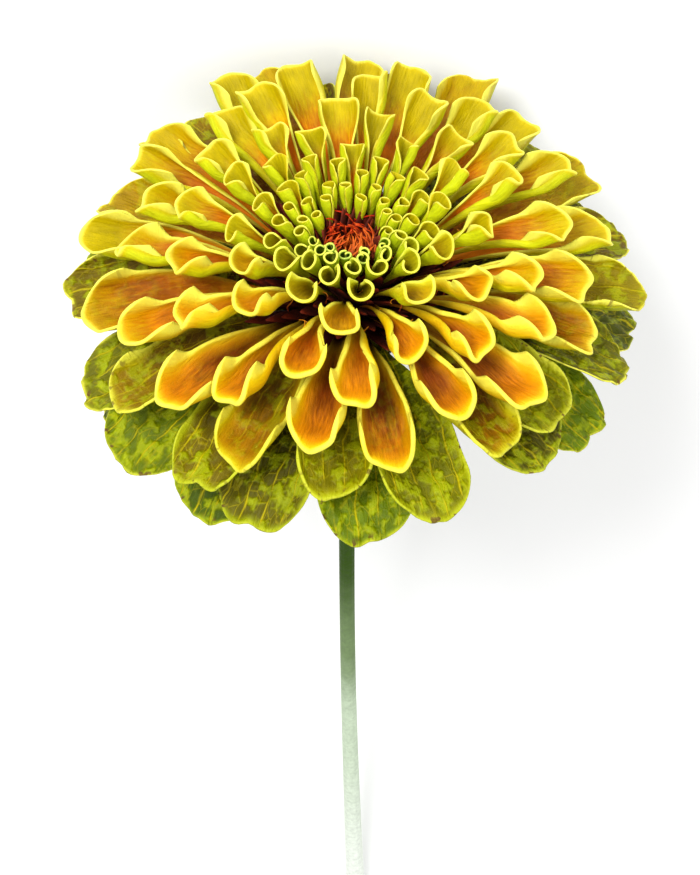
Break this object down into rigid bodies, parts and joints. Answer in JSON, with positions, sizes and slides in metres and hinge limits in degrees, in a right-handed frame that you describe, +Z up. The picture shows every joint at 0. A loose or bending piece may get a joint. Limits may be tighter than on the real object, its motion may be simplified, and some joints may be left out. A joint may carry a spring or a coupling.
{
  "type": "zinnia flower",
  "caption": "Cut double zinnia bloom lying on its side: a dome of overlapping ray petals round tubular inner florets and a small red disc, on a bare green stem.",
  "frame": {"origin": "centre of the flower's footprint, on the surface that it lies on", "axes": "+Y from the cut end of the stem towards the bloom's face, +Z up from the surface, +X across the bloom"},
  "size_m": [0.0921, 0.2111, 0.0871],
  "materials": {
    "stem": "satin",
    "bract": "matte",
    "receptacle": "matte",
    "disc": "matte",
    "outer_petal": "satin",
    "middle_petal": "satin",
    "tube_petal": "satin"
  },
  "bodies": {
    "root": {"stem": "stem", "involucre": "bract", "receptacle": "receptacle", "disc": "disc", "ray_petal_01": "outer_petal", "ray_petal_02": "outer_petal", "ray_petal_03": "outer_petal", "ray_petal_04": "outer_petal", "ray_petal_05": "outer_petal", "ray_petal_06": "outer_petal", "ray_petal_07": "outer_petal", "ray_petal_08": "outer_petal", "ray_petal_09": "outer_petal", "ray_petal_10": "outer_petal", "ray_petal_11": "outer_petal", "ray_petal_12": "outer_petal", "ray_petal_13": "outer_petal", "ray_petal_14": "outer_petal", "ray_petal_15": "outer_petal", "ray_petal_16": "outer_petal", "ray_petal_17": "outer_petal", "ray_petal_18": "outer_petal", "ray_petal_19": "outer_petal", "ray_petal_20": "outer_petal", "ray_petal_21": "outer_petal", "ray_petal_22": "outer_petal", "ray_petal_23": "outer_petal", "ray_petal_24": "outer_petal", "ray_petal_25": "outer_petal", "ray_petal_26": "outer_petal", "ray_petal_27": "outer_petal", "ray_petal_28": "outer_petal", "ray_petal_29": "middle_petal", "ray_petal_30": "middle_petal", "ray_petal_31": "middle_petal", "ray_petal_32": "middle_petal", "ray_petal_33": "middle_petal", "ray_petal_34": "middle_petal", "ray_petal_35": "middle_petal", "ray_petal_36": "middle_petal", "ray_petal_37": "middle_petal", "ray_petal_38": "middle_petal", "ray_petal_39": "middle_petal", "ray_petal_40": "middle_petal", "ray_petal_41": "middle_petal", "ray_petal_42": "middle_petal", "ray_petal_43": "middle_petal", "ray_petal_44": "middle_petal", "ray_petal_45": "middle_petal", "ray_petal_46": "middle_petal", "ray_petal_47": "middle_petal", "ray_petal_48": "middle_petal", "ray_petal_49": "middle_petal", "ray_petal_50": "middle_petal", "ray_petal_51": "middle_petal", "inner_whorl_1": "middle_petal", "inner_whorl_2": "middle_petal", "inner_whorl_3": "tube_petal", "inner_whorl_4": "tube_petal", "inner_whorl_5": "tube_petal"}
  },
  "joints": []
}
